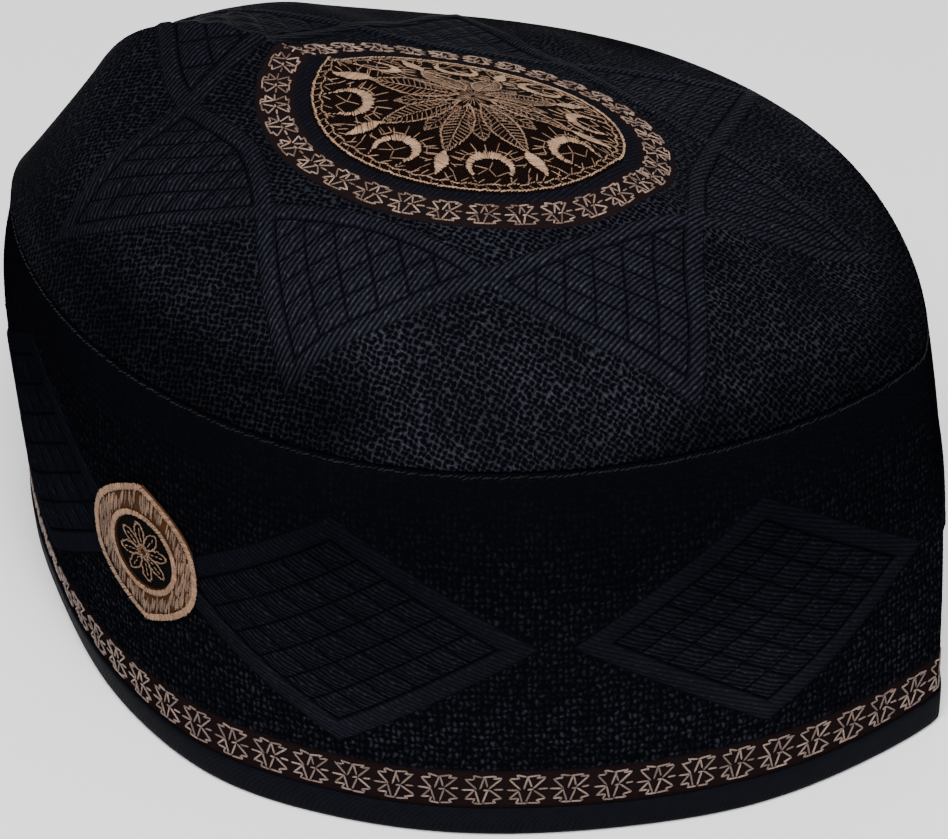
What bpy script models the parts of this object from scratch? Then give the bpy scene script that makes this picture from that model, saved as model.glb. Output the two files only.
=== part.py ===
"""A kufi: a tall quilted side band with a plain ribbon binding, a domed crown with a soft fold ridge,
an embroidered medallion on the crown and an embroidered patch on the band.

Metres, +Z up. The cap stands on its hem, with the origin in the middle of the floor under it. The patch
is at the front, -Y, and the two pointed ends of the almond-shaped plan lie at -X and +X.
"""

import bmesh
import bpy
import numpy as np

# Reach of the cap from the crown's middle to its left and right ends, half its width, and how pointed each
# end is: the edge follows (1 - (x / reach) ** 2) ** point, where 0.5 gives a round end and 1 a sharp one.
HEM = {"left": 0.1029, "right": 0.1125, "width": 0.0848, "left_point": 0.813, "right_point": 0.809}
SEAM = {"left": 0.0983, "right": 0.1005, "width": 0.0842, "left_point": 0.524, "right_point": 0.707}
MIDDLE = (HEM["right"] - HEM["left"]) / 2
SEAM_HEIGHT = 0.0913
SEAM_RISE_LEFT = 0.0029
SEAM_RISE_RIGHT = 0.0002
BAND_SWELL = 0.0023

# The crown falls from its middle to the seam. Each power says how late it falls on its way out, along the
# ridge to the left and right and across it to the front and back.
CROWN_HEIGHT = 0.1237
FALL_LEFT = 5.4
FALL_RIGHT = 1.3
FALL_FRONT = 3.95
FALL_BACK = 0.82
FALL_SPREAD = 0.64
RIDGE_ROUNDING = 0.06

# The quilted cloth of the walls, the gap kept between pieces, and the ribbon folded round the lower edge.
CLOTH = 0.0025
GAP = 0.0003
TIP_INSET = 1.5
RIBBON = 0.0008
RIBBON_RISE = 0.0075
RIBBON_FLOOR = 0.0010

# The embroidered pieces. The patch lies left of the middle of the front, about half way up the band.
MEDALLION_RADIUS = 0.0328
MEDALLION_THICKNESS = 0.0008
MEDALLION_LIFT = 0.0006
PATCH_WIDTH = 0.0300
PATCH_HEIGHT = 0.0340
PATCH_THICKNESS = 0.0010
PATCH_ROUNDNESS = 2.6
PATCH_SHARE = 0.376
PATCH_UP = 0.552
FRONT_LENGTH = 0.290

# Counts of the steps in which the curved faces are made, and the angle that counts as a sharp edge.
AROUND = 96
BAND_ROWS = 5
CROWN_RINGS = 12
CROWN_CROWDING = 0.85
MEDALLION_AROUND = 48
MEDALLION_RINGS = 5
PATCH_ACROSS = 8
PATCH_UPWARD = 12
FINE = 721
PROFILE_STEPS = 200
SHARE_STEP = 0.001
SHARP_DEGREES = 40

# Colours of the cloth, the ribbon and the copper thread: red, green, blue, roughness.
FINISHES = {
    "crown": (0.010, 0.011, 0.017, 0.62),
    "band": (0.010, 0.011, 0.016, 0.66),
    "hem_binding": (0.008, 0.008, 0.012, 0.55),
    "crown_medallion": (0.330, 0.200, 0.115, 0.50),
    "side_badge": (0.420, 0.240, 0.130, 0.45),
}


def clear_scene():
    """Removes every object of the scene."""
    for thing in list(bpy.data.objects):
        bpy.data.objects.remove(thing, do_unlink=True)


def half_plan(plan):
    """The front half of a plan, left end to right end: x, y and the share of its length passed."""
    turn = np.linspace(-np.pi / 2, np.pi / 2, FINE)
    reach = np.where(turn < 0, plan["left"], plan["right"])
    point = np.where(turn < 0, plan["left_point"], plan["right_point"])
    x = reach * np.sin(turn)
    y = -plan["width"] * np.clip(1 - np.sin(turn) ** 2, 0, 1) ** point
    length = np.concatenate([[0], np.cumsum(np.hypot(np.diff(x), np.diff(y)))])
    return x, y, length / length[-1]


def plan_at(plan, share, inset=0.0):
    """Points of a closed plan: share 0 to 1 runs along the front, left to right, 1 to 2 back behind."""
    smaller = {
        **plan,
        "left": plan["left"] - TIP_INSET * inset,
        "right": plan["right"] - TIP_INSET * inset,
        "width": plan["width"] - inset,
    }
    x, y, passed = half_plan(smaller)
    front = np.where(share <= 1, share, 2 - share)
    side = np.where(share <= 1, 1.0, -1.0)
    return np.interp(front, passed, x), side * np.interp(front, passed, y)


def seam_height(x):
    """The seam's height, which rises a little towards the two ends."""
    rise = np.where(x < 0, SEAM_RISE_LEFT / SEAM["left"] ** 2, SEAM_RISE_RIGHT / SEAM["right"] ** 2)
    return SEAM_HEIGHT + rise * x**2


def band_points(share, up, inset=0.0):
    """The band's wall: straight from hem to seam, plus a swell that is zero at both edges."""
    x_hem, y_hem = plan_at(HEM, share, inset)
    x_seam, y_seam = plan_at(SEAM, share, inset)
    out_x = x_seam / SEAM["left"] ** 2
    out_y = y_seam / SEAM["width"] ** 2
    swell = BAND_SWELL * 4 * up * (1 - up) / np.hypot(out_x, out_y)
    x = x_hem + (x_seam - x_hem) * up + swell * out_x
    y = y_hem + (y_seam - y_hem) * up + swell * out_y
    return np.stack([x, y, seam_height(plan_at(SEAM, share)[0]) * up], -1)


def crown_fall(out, turn):
    """How far the crown has fallen, 0 in the middle to 1 at the seam.

    Along the ridge it follows one power of the way out and across the ridge another, mixed by how far the
    direction turns from the ridge. The back face starts to fall right at the ridge, which leaves a soft
    crease there, while the front face stays high and drops steeply near the seam.
    """
    way = np.sqrt(out**2 + RIDGE_ROUNDING**2) - RIDGE_ROUNDING
    way = way / (np.sqrt(1 + RIDGE_ROUNDING**2) - RIDGE_ROUNDING)
    cross = np.abs(np.sin(turn)) ** FALL_SPREAD
    along_power = np.where(np.cos(turn) < 0, FALL_LEFT, FALL_RIGHT)
    cross_power = np.where(np.sin(turn) < 0, FALL_FRONT, FALL_BACK)
    return (1 - cross) * way**along_power + cross * way**cross_power


def crown_points(share, out):
    """The crown's outer face: out runs from 0 in the middle to 1 at the seam."""
    x, y = plan_at(SEAM, share)
    foot = seam_height(x)
    fall = crown_fall(out, np.arctan2(y, x))
    return np.stack([x * out, y * out, CROWN_HEIGHT - (CROWN_HEIGHT - foot) * fall], -1)


def normals(surface):
    """Upward unit normals of a grid of points that run round the cap first and outwards second."""
    run = np.roll(surface, -1, 0) - np.roll(surface, 1, 0)
    rise = np.gradient(surface, axis=1)
    upward = np.cross(rise, run)
    return upward / np.linalg.norm(upward, axis=-1, keepdims=True)


def add_body(name, points, faces):
    """Adds one closed mesh as an object, with its faces turned out and its own material.

    Points come measured from the crown's middle and are moved here to the middle of the hem.
    """
    mesh = bpy.data.meshes.new(name)
    mesh.from_pydata((points - [MIDDLE, 0, 0]).tolist(), [], faces)
    shape = bmesh.new()
    shape.from_mesh(mesh)
    bmesh.ops.recalc_face_normals(shape, faces=shape.faces)
    shape.to_mesh(mesh)
    shape.free()
    mesh.shade_smooth()
    mesh.set_sharp_from_angle(angle=np.radians(SHARP_DEGREES))
    body = bpy.data.objects.new(name, mesh)
    bpy.context.collection.objects.link(body)
    red, green, blue, roughness = FINISHES[name]
    finish = bpy.data.materials.new(name)
    finish.use_nodes = True
    shader = finish.node_tree.nodes["Principled BSDF"]
    shader.inputs["Base Color"].default_value = (red, green, blue, 1.0)
    shader.inputs["Roughness"].default_value = roughness
    shader.inputs["Metallic"].default_value = 0.0
    mesh.materials.append(finish)
    return body


def loop_faces(around, ring):
    """Quads of a closed profile of ring points, carried round a closed path of around points."""
    return [
        (i * ring + j, ((i + 1) % around) * ring + j, ((i + 1) % around) * ring + (j + 1) % ring,
         i * ring + (j + 1) % ring)
        for i in range(around)
        for j in range(ring)
    ]


def shares_around(count):
    """Evenly spaced places round the cap, with one on each pointed end."""
    return np.arange(count) * 2.0 / count


def make_band():
    """The side wall: an outer and an inner face, joined by a top and a bottom edge."""
    share = shares_around(AROUND)[:, None]
    x_seam, _ = plan_at(SEAM, share)
    lowest = (RIBBON_FLOOR + GAP) / seam_height(x_seam)
    highest = 1 - GAP / seam_height(x_seam)
    rows = np.linspace(0, 1, BAND_ROWS + 1)[None, :]
    up = lowest + (highest - lowest) * rows
    outer = band_points(share + 0 * rows, up)
    inner = band_points(share + 0 * rows, up, CLOTH)
    profile = np.concatenate([outer, inner[:, ::-1]], 1)
    return add_body("band", profile.reshape(-1, 3), loop_faces(AROUND, profile.shape[1]))


def make_binding():
    """The ribbon folded round the band's lower edge: a channel with a flat underside."""
    share = shares_around(AROUND)
    x_seam, _ = plan_at(SEAM, share)
    top = RIBBON_RISE / seam_height(x_seam)
    floor = RIBBON_FLOOR / seam_height(x_seam)
    zero = 0 * share
    corners = (
        (zero, -GAP - RIBBON),
        (top, -GAP - RIBBON),
        (top, -GAP),
        (floor, -GAP),
        (floor, CLOTH + GAP),
        (top, CLOTH + GAP),
        (top, CLOTH + GAP + RIBBON),
        (zero, CLOTH + GAP + RIBBON),
    )
    profile = np.stack([band_points(share, up, inset) for up, inset in corners], 1)
    return add_body("hem_binding", profile.reshape(-1, 3), loop_faces(AROUND, len(corners)))


def cap_faces(around, rings, start):
    """Faces of a disc whose point number start is its middle and whose rings follow it."""
    first = start + 1
    fan = [(start, first + i * rings, first + ((i + 1) % around) * rings) for i in range(around)]
    quads = [
        (first + i * rings + j, first + i * rings + j + 1, first + ((i + 1) % around) * rings + j + 1,
         first + ((i + 1) % around) * rings + j)
        for i in range(around)
        for j in range(rings - 1)
    ]
    return fan + quads


def shell(name, upper, upper_middle, lower, lower_middle):
    """A closed body from an upper and a lower disc of points with the same layout."""
    around, rings = upper.shape[:2]
    count = around * rings + 1
    points = np.concatenate([[upper_middle], upper.reshape(-1, 3), [lower_middle], lower.reshape(-1, 3)])
    faces = cap_faces(around, rings, 0)
    faces += [face[::-1] for face in cap_faces(around, rings, count)]
    last = rings - 1
    faces += [
        (1 + i * rings + last, count + 1 + i * rings + last,
         count + 1 + ((i + 1) % around) * rings + last, 1 + ((i + 1) % around) * rings + last)
        for i in range(around)
    ]
    return add_body(name, points, faces)


def make_crown():
    """The domed top: an outer face, an inner face one cloth below, and a flat rim on the band's edge."""
    share = shares_around(AROUND)[:, None]
    out = np.linspace(0, 1, CROWN_RINGS + 1)[None, 1:] ** CROWN_CROWDING
    outer = crown_points(share + 0 * out, out + 0 * share)
    inner = outer - CLOTH * normals(outer)
    x_rim, y_rim = plan_at(SEAM, share[:, 0], CLOTH)
    x_seam, _ = plan_at(SEAM, share[:, 0])
    inner[:, -1] = np.stack([x_rim, y_rim, seam_height(x_seam)], -1)
    middle = np.array([0, 0, CROWN_HEIGHT])
    return shell("crown", outer, middle, inner, middle - [0, 0, CLOTH])


def crown_place(turn, radius):
    """The point of the crown that lies a given way from its middle, measured along the cloth.

    For one direction, the crown's profile is walked in small steps and its length added up; the wanted
    length is then read off between the steps.
    """
    x, y, _ = half_plan(SEAM)
    reach = np.interp(-np.abs(turn), np.arctan2(y, x), np.hypot(x, y), period=2 * np.pi)
    steps = np.linspace(0, 1, PROFILE_STEPS)
    foot = seam_height(reach * np.cos(turn))
    height = CROWN_HEIGHT - (CROWN_HEIGHT - foot) * crown_fall(steps, turn)
    passed = np.concatenate([[0], np.cumsum(np.hypot(np.diff(steps) * reach, np.diff(height)))])
    out = np.interp(radius, passed, steps)
    z = np.interp(out, steps, height)
    return np.stack([out * reach * np.cos(turn), out * reach * np.sin(turn), z], -1)


def make_medallion():
    """The round embroidered disc that lies on the crown."""
    turns = np.arange(MEDALLION_AROUND) * 2 * np.pi / MEDALLION_AROUND - np.pi
    radii = np.linspace(0, MEDALLION_RADIUS, MEDALLION_RINGS + 1)[1:]
    under = np.stack([crown_place(turn, radii) for turn in turns])
    out = normals(under)
    lower = under + MEDALLION_LIFT * out
    upper = lower + MEDALLION_THICKNESS * out
    low_middle = np.array([0, 0, CROWN_HEIGHT + MEDALLION_LIFT])
    return shell("crown_medallion", upper, low_middle + [0, 0, MEDALLION_THICKNESS], lower, low_middle)


def patch_half_width(level):
    """Half the patch's width, level -1 at its foot to 1 at its head: a pointed oval."""
    return PATCH_WIDTH / 2 * (1 - np.abs(level) ** PATCH_ROUNDNESS)


def lifted(share, up, lift):
    """Points a given lift outside the band's wall."""
    run = band_points(share + SHARE_STEP, up) - band_points(share - SHARE_STEP, up)
    rise = band_points(share, up + SHARE_STEP) - band_points(share, up - SHARE_STEP)
    out = np.cross(run, rise)
    return band_points(share, up) + lift * out / np.linalg.norm(out, axis=-1, keepdims=True)


def patch_layer(lift):
    """One face of the patch as rows of points from foot to head, then its foot and its head."""
    level = np.linspace(-1, 1, PATCH_UPWARD + 1)[1:-1, None]
    across = np.linspace(-1, 1, PATCH_ACROSS + 1)[None, :]
    share = PATCH_SHARE + patch_half_width(level) * across / FRONT_LENGTH
    half_up = PATCH_HEIGHT / 2 / SEAM_HEIGHT
    rows = lifted(share, PATCH_UP + level * half_up + np.zeros_like(across), lift)
    ends = lifted(np.full(2, PATCH_SHARE), PATCH_UP + np.array([-half_up, half_up]), lift)
    return np.concatenate([rows.reshape(-1, 3), ends])


def make_patch():
    """The embroidered patch on the front of the band, a pointed oval that follows the wall."""
    rows, columns = PATCH_UPWARD - 1, PATCH_ACROSS + 1
    foot, head = rows * columns, rows * columns + 1
    count = head + 1
    top_row = foot - columns
    front = [
        (i * columns + j, i * columns + j + 1, (i + 1) * columns + j + 1, (i + 1) * columns + j)
        for i in range(rows - 1)
        for j in range(columns - 1)
    ]
    front += [(foot, j + 1, j) for j in range(columns - 1)]
    front += [(head, top_row + j, top_row + j + 1) for j in range(columns - 1)]
    right_edge = [i * columns + columns - 1 for i in range(rows)]
    left_edge = [i * columns for i in reversed(range(rows))]
    edge = [foot] + right_edge + [head] + left_edge
    back = [tuple(count + corner for corner in face[::-1]) for face in front]
    side = [(edge[k - 1], edge[k], count + edge[k], count + edge[k - 1]) for k in range(len(edge))]
    points = np.concatenate([patch_layer(GAP + PATCH_THICKNESS), patch_layer(GAP)])
    return add_body("side_badge", points, front + back + side)


def main():
    clear_scene()
    for make in (make_band, make_binding, make_crown, make_medallion, make_patch):
        body = make()
        print(body.name, [round(size * 1000, 1) for size in body.dimensions])


main()
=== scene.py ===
# %% [markdown]
# # A quilted black cap with copper embroidery
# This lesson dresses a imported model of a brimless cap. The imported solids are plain, and they are the rule
# for every place and size. What shows on the real cap is cloth and thread, so each visible piece here is a
# surface worked out with numpy from two lengths measured along the cloth. A pattern can then be drawn flat
# in millimetres, as its maker would draw it, and laid on the cap.

import bpy
import numpy as np
from mathutils import Matrix, Vector


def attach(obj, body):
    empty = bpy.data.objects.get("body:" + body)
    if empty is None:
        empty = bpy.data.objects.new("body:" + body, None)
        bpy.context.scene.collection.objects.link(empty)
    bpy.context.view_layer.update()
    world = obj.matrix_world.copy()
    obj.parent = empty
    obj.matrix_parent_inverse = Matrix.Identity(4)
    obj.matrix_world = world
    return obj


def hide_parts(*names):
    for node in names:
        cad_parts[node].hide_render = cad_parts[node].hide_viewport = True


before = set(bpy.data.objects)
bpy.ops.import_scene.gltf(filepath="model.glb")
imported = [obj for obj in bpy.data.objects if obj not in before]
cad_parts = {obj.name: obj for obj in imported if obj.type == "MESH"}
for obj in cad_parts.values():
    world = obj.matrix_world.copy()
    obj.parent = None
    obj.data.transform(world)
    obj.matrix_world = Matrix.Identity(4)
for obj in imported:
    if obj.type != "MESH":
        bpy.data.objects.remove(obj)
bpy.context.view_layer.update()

# %% [markdown]
# ## The shape of the cloth
# The cap is an almond in plan. Its side wall is ruled from the hem's plan to the seam's plan with a slight
# swell, and its crown falls from the middle to the seam, late along the front and at once along the back,
# which leaves a soft ridge from end to end. Such a cap could be sculpted, or sewn from panels with the cloth
# simulation. It is taut and padded, though, so a few curves give its form exactly and keep it on the packed
# model, whose sizes in millimetres are repeated here.

# %% Sizes of the cap in millimetres
MM = 0.001
HEM = {"left": 102.9, "right": 112.5, "width": 84.8, "left_point": 0.813, "right_point": 0.809}
SEAM = {"left": 98.3, "right": 100.5, "width": 84.2, "left_point": 0.524, "right_point": 0.707}
MIDDLE = (HEM["right"] - HEM["left"]) / 2
FRONT_LENGTH = 290.0
WALL_HEIGHT = 91.3
SEAM_RISE_LEFT = 2.9
SEAM_RISE_RIGHT = 0.2
BAND_SWELL = 2.3
CROWN_HEIGHT = 123.7
FALL_LEFT = 5.4
FALL_RIGHT = 1.3
FALL_FRONT = 3.95
FALL_BACK = 0.82
FALL_SPREAD = 0.64
RIDGE_ROUNDING = 0.06
CLOTH = 2.5


def half_plan(plan):
    """The front half of a plan: x, y and the length passed, as a share, with y = -w (1 - (x/a)^2)^p."""
    turn = np.linspace(-np.pi / 2, np.pi / 2, 1441)
    reach = np.where(turn < 0, plan["left"], plan["right"])
    point = np.where(turn < 0, plan["left_point"], plan["right_point"])
    x = reach * np.sin(turn)
    y = -plan["width"] * np.clip(1 - np.sin(turn) ** 2, 0, 1) ** point
    passed = np.concatenate([[0], np.cumsum(np.hypot(np.diff(x), np.diff(y)))])
    return x, y, passed / passed[-1]


HEM_PLAN, SEAM_PLAN = half_plan(HEM), half_plan(SEAM)


def plan_at(plan, along):
    """Points of a closed plan: along is 0 at the left tip, 290 at the right one and 580 back at the left."""
    x, y, passed = plan
    share = np.mod(along, 2 * FRONT_LENGTH) / FRONT_LENGTH
    front = np.where(share <= 1, share, 2 - share)
    side = np.where(share <= 1, 1.0, -1.0)
    return np.interp(front, passed, x), side * np.interp(front, passed, y)


def seam_height(x):
    """The seam's height: lowest at the middle and rising with the square of x towards the ends."""
    rise = np.where(x < 0, SEAM_RISE_LEFT / SEAM["left"] ** 2, SEAM_RISE_RIGHT / SEAM["right"] ** 2)
    return WALL_HEIGHT + rise * x**2


# Each wave of the soft unevenness has its counts or rises in radians per millimetre, and its start.
WAVES = np.random.default_rng(7)
BAND_WAVES = np.stack(
    [np.arange(5, 15), WAVES.uniform(-0.05, 0.05, 10), WAVES.uniform(0, 2 * np.pi, 10)], -1
)
CROWN_WAVES = np.stack(
    [WAVES.uniform(-0.22, 0.22, 12), WAVES.uniform(-0.22, 0.22, 12), WAVES.uniform(0, 2 * np.pi, 12)], -1
)
SOFTNESS = 0.16


def band_softness(along, up):
    """Soft unevenness in mm: a sum of sine waves that close round the band and fade at hem and seam."""
    count, rise, start = BAND_WAVES.T
    wave = np.sin(along[..., None] * count * np.pi / FRONT_LENGTH + up[..., None] * rise + start).sum(-1)
    share = np.clip(up / WALL_HEIGHT, 0, 1)
    return SOFTNESS * wave * 4 * share * (1 - share)


# Where the soft cloth has settled away from the plain shape: middle x, y, z, reach, and push x, y, z, in mm.
SETTLINGS = np.array(
    [[-98, -8, 64, 27, -3.6, -1.2, 0],
     [-104, -4, 102, 18, 3.6, 0, -4.4],
     [-62, 8, 118, 22, 0, 0, 3.2],
     [-70, 44, 98, 28, 0, 0, 4.0],
     [0, 84, 91, 38, 0, 0, 0.9],
     [62, 62, 91, 40, 0, 0, 1.9],
     [90, -42, 0, 26, 0.8, -1.7, 0],
     [-16, -86, 0, 20, 0, -1.1, 0],
     [-74, -54, 0, 26, 0.7, 1.4, 0]]
)


def settled(points):
    """Points moved by every settling: its push times exp(-(distance / reach)^2)."""
    gap = np.linalg.norm(points[..., None, :] - SETTLINGS[:, :3], axis=-1)
    return points + np.exp(-((gap / SETTLINGS[:, 3]) ** 2)) @ SETTLINGS[:, 4:]


def wall(along, up):
    """The band's outer face: a straight line from hem to seam, plus a swell of 4 s (1 - s) outwards."""
    along, up = np.broadcast_arrays(np.asarray(along, float), np.asarray(up, float))
    share = up / WALL_HEIGHT
    x_hem, y_hem = plan_at(HEM_PLAN, along)
    x_seam, y_seam = plan_at(SEAM_PLAN, along)
    out_x, out_y = x_seam / SEAM["left"] ** 2, y_seam / SEAM["width"] ** 2
    swell = (BAND_SWELL * 4 * share * (1 - share) + band_softness(along, up)) / np.hypot(out_x, out_y)
    x = x_hem + (x_seam - x_hem) * share + swell * out_x
    y = y_hem + (y_seam - y_hem) * share + swell * out_y
    return settled(np.stack([x, y, seam_height(x_seam) * share], -1))


print("wall height at the middle of the front:", wall(np.array(145.0), np.array(WALL_HEIGHT))[2])

# %% [markdown]
# The crown is drawn flat too. A place on it is given by x and y measured along the cloth from its middle,
# as on the paper pattern. An unwrap of the finished dome would give such lengths too, but only roughly, and
# only after the mesh is made. Here the profile is walked in every direction and its length added up, once,
# in a table, and a place is read from the table between its nearest entries.

# %% The crown as a function of two lengths along the cloth
TABLE_TURNS = np.linspace(-np.pi, np.pi, 721)
TABLE_STEP = 0.5
TABLE_RADII = np.arange(0, 125, TABLE_STEP)


def crown_fall(out, turn):
    """How far the crown has fallen: powers of the way out along and across the ridge, mixed by |sin|."""
    way = np.sqrt(out**2 + RIDGE_ROUNDING**2) - RIDGE_ROUNDING
    way = way / (np.sqrt(1 + RIDGE_ROUNDING**2) - RIDGE_ROUNDING)
    cross = np.abs(np.sin(turn)) ** FALL_SPREAD
    along_power = np.where(np.cos(turn) < 0, FALL_LEFT, FALL_RIGHT)
    cross_power = np.where(np.sin(turn) < 0, FALL_FRONT, FALL_BACK)
    return (1 - cross) * way**along_power + cross * way**cross_power


def crown_table():
    """Points of the crown for every table turn and length from the middle, and the length to the seam."""
    x, y, _ = SEAM_PLAN
    reach = np.interp(-np.abs(TABLE_TURNS), np.arctan2(y, x), np.hypot(x, y), period=2 * np.pi)[:, None]
    turn = TABLE_TURNS[:, None]
    out = np.linspace(0, 1, 500)[None, :]
    foot = seam_height(reach * np.cos(turn))
    height = CROWN_HEIGHT - (CROWN_HEIGHT - foot) * crown_fall(out, turn)
    steps = np.hypot(np.diff(out) * reach, np.diff(height))
    passed = np.concatenate([np.zeros_like(turn), np.cumsum(steps, 1)], 1)
    at = np.stack([np.interp(TABLE_RADII, row, out[0]) for row in passed])
    fallen = CROWN_HEIGHT - (CROWN_HEIGHT - foot) * crown_fall(at, turn)
    return np.stack([at * reach * np.cos(turn), at * reach * np.sin(turn), fallen], -1), passed[:, -1]


CROWN_TABLE, CROWN_EDGE = crown_table()


def crown(x, y):
    """The crown's outer face at the flat place x, y: the mean of four table entries, by nearness."""
    row = (np.arctan2(y, x) + np.pi) / (2 * np.pi) * (len(TABLE_TURNS) - 1)
    column = np.hypot(x, y) / TABLE_STEP
    i = np.clip(np.floor(row).astype(int), 0, len(TABLE_TURNS) - 2)
    j = np.clip(np.floor(column).astype(int), 0, len(TABLE_RADII) - 2)
    a, b = (row - i)[..., None], (column - j)[..., None]
    near = CROWN_TABLE[i, j] * (1 - a) * (1 - b) + CROWN_TABLE[i + 1, j] * a * (1 - b)
    smooth_place = near + CROWN_TABLE[i, j + 1] * (1 - a) * b + CROWN_TABLE[i + 1, j + 1] * a * b
    edge = np.interp(np.arctan2(y, x), TABLE_TURNS, CROWN_EDGE)
    out = np.clip(np.hypot(x, y) / edge, 0, 1)
    fade = 4 * out**2 * (1 - out**2)
    run_x, run_y, start = CROWN_WAVES.T
    wave = np.sin(np.asarray(x)[..., None] * run_x + np.asarray(y)[..., None] * run_y + start).sum(-1)
    return settled(smooth_place + (SOFTNESS * wave * fade)[..., None] * [0, 0, 1.0])


def facing(surface, first, second, step=0.6):
    """Outward unit normals: the cross product of the surface's slopes along its two lengths."""
    along_first = surface(first + step, second) - surface(first - step, second)
    along_second = surface(first, second + step) - surface(first, second - step)
    out = np.cross(along_first, along_second)
    return out / np.maximum(np.linalg.norm(out, axis=-1, keepdims=True), 1e-9)


def lifted(surface, first, second, lift):
    """Points a given lift outside a surface."""
    return surface(first, second) + np.asarray(lift)[..., None] * facing(surface, first, second)


print("length from the middle to the seam in mm:", CROWN_EDGE[[180, 360]].round(1), "front and right")

# %% [markdown]
# ## Meshes from grids
# Every surface is a grid of points. Rows follow a profile, and columns run round the cap or round a thread.
# Modifiers such as Screw and Solidify build shells too, but a grid leaves every point in its own hands. The
# helpers below join neighbours into quads and close the seams and poles. Each corner carries the flat place
# it stands for in a UV map, in millimetres, so that weave and stitches keep their real scale.

# %% Turn a grid into a mesh
def grid_corners(rows, columns, ring):
    """The four corners of every quad as row and column numbers; ring says that the rows close too."""
    last = rows if ring else rows - 1
    row, column = np.meshgrid(np.arange(last), np.arange(columns), indexing="ij")
    row = np.stack([row, row, row + 1, row + 1], -1).reshape(-1, 4)
    column = np.stack([column, column + 1, column + 1, column], -1).reshape(-1, 4)
    return row, column


def add_mesh(name, points, faces, charts, finish):
    """Adds a mesh from points in mm measured from the crown's middle, faces and UV maps by corner."""
    mesh = bpy.data.meshes.new(name)
    mesh.from_pydata(((points - [MIDDLE, 0, 0]) * MM).tolist(), [], faces)
    for chart, places in charts.items():
        layer = mesh.uv_layers.new(name=chart)
        layer.data.foreach_set("uv", np.ascontiguousarray(places, dtype=np.float32).ravel())
    mesh.shade_smooth()
    mesh.materials.append(finish)
    piece = bpy.data.objects.new(name, mesh)
    bpy.context.collection.objects.link(piece)
    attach(piece, "root")
    mesh.calc_loop_triangles()
    print(name, "triangles:", len(mesh.loop_triangles))
    return piece


def add_ring(name, points, charts, finish):
    """A closed loop of cloth: points are (profile, round, 3), and charts hold one row and column more."""
    rows, columns = points.shape[:2]
    row, column = grid_corners(rows, columns, ring=True)
    faces = (row % rows) * columns + column % columns
    maps = {chart: places[row, column].reshape(-1, 2) for chart, places in charts.items()}
    return add_mesh(name, points.reshape(-1, 3), faces.tolist(), maps, finish)


def add_dome(name, points, top, bottom, charts, finish):
    """A closed dome: rows run from the top pole over the edge to the bottom pole, which are single points."""
    rows, columns = points.shape[:2]
    row, column = grid_corners(rows, columns, ring=False)
    quads = (row * columns + column % columns)[:, ::-1]
    turn = np.arange(columns)
    last = (rows - 1) * columns
    count = rows * columns
    upper = np.stack([np.full(columns, count), turn, (turn + 1) % columns], -1)
    lower = np.stack([np.full(columns, count + 1), last + (turn + 1) % columns, last + turn], -1)
    maps = {}
    for chart, places in charts.items():
        body = places[row, column][:, ::-1].reshape(-1, 2)
        middle = np.zeros((columns, 2))
        first = np.stack([middle, places[0, turn], places[0, turn + 1]], 1).reshape(-1, 2)
        final = np.stack([middle, places[-1, turn + 1], places[-1, turn]], 1).reshape(-1, 2)
        maps[chart] = np.concatenate([body, first, final])
    faces = quads.tolist() + upper.tolist() + lower.tolist()
    return add_mesh(name, np.concatenate([points.reshape(-1, 3), [top, bottom]]), faces, maps, finish)


print("corners of a grid of 2 by 2 points:", len(grid_corners(2, 2, ring=False)[0][0]))

# %% [markdown]
# ## Sums that work on arrays and on shaders
# The quilting has to be both felt and seen: its relief is in the mesh, and its grooves and stitches are in
# the material. It could be painted on a picture and used for both, but a picture has a fixed sharpness. A
# formula has none, so each pattern is written once as one. A small class wraps a shader socket and adds a
# Math node for every sum, and the same formula run on numpy arrays gives the relief.

# %% A wrapped socket and a material to build
SUMS = {
    "ABSOLUTE": np.abs,
    "MINIMUM": np.minimum,
    "MAXIMUM": np.maximum,
    "SQRT": np.sqrt,
    "ARCTAN2": np.arctan2,
    "SINE": np.sin,
    "COSINE": np.cos,
    "PINGPONG": lambda a, b: np.abs(np.mod((a - b) / (2 * b), 1) * 2 * b - b),
}


class Value:
    """A number or colour that varies over a surface. A sum on it adds a Math node to its material."""

    def __init__(self, finish, socket):
        self.finish, self.socket = finish, socket

    def __add__(self, other):
        return work("ADD", self, other)

    def __sub__(self, other):
        return work("SUBTRACT", self, other)

    def __rsub__(self, other):
        return work("SUBTRACT", other, self)

    def __mul__(self, other):
        return work("MULTIPLY", self, other)

    def __truediv__(self, other):
        return work("DIVIDE", self, other)

    __radd__ = __add__
    __rmul__ = __mul__


def work(operation, *terms):
    """One sum: a Math node where a term is a shader value, and the same sum on numbers otherwise."""
    for term in terms:
        if isinstance(term, Value):
            return term.finish.node("ShaderNodeMath", {"operation": operation}, dict(enumerate(terms)))
    return SUMS[operation](*terms)


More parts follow.
